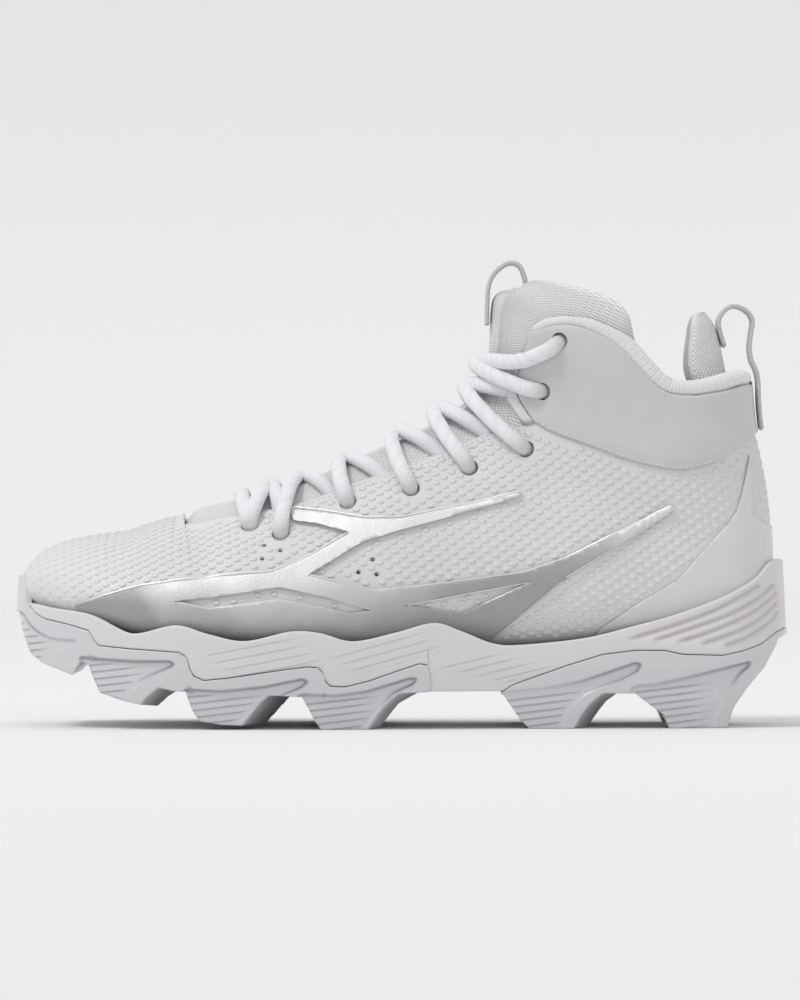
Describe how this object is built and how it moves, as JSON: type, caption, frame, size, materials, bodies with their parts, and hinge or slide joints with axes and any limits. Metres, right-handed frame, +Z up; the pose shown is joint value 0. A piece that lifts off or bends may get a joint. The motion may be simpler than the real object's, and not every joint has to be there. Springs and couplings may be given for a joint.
{
  "type": "american football cleat",
  "caption": "High top lace-up football cleat for the left foot with moulded studs, waved midsole, padded ankle cuff and metallic overlays.",
  "frame": {"origin": "on the floor under the middle of the shoe's bounding box", "axes": "the toe points to -X and the heel to +X, the outer side of the foot to -Y, +Z is up"},
  "size_m": [0.299, 0.1038, 0.1795],
  "materials": {
    "nubbed_skin": "satin, raised nubs",
    "smooth_panel": "soft matte",
    "knit": "knit mesh",
    "foam": "satin foam",
    "plate": "satin gloss",
    "foil": "metallic foil, fine grain",
    "film": "satin film",
    "webbing": "woven",
    "lace": "woven cord"
  },
  "bodies": {
    "root": {"upper": "nubbed_skin", "midsole": "foam", "outsole_forefoot": "plate", "outsole_heel": "plate", "insole": "knit", "tongue": "knit", "ankle_cuff": "smooth_panel", "collar_binding": "knit", "throat_tape_lateral": "knit", "throat_tape_medial": "knit", "overlay_lateral": "foil", "overlay_medial": "foil", "heel_overlay": "film", "heel_pad": "knit", "heel_loop": "webbing", "tongue_loop": "webbing", "lace_bar": "lace", "lace_crossing_1": "lace", "lace_crossing_2": "lace", "lace_crossing_3": "lace", "lace_crossing_4": "lace", "lace_crossing_5": "lace", "lace_crossing_6": "lace", "lace_crossing_7": "lace"}
  },
  "joints": []
}
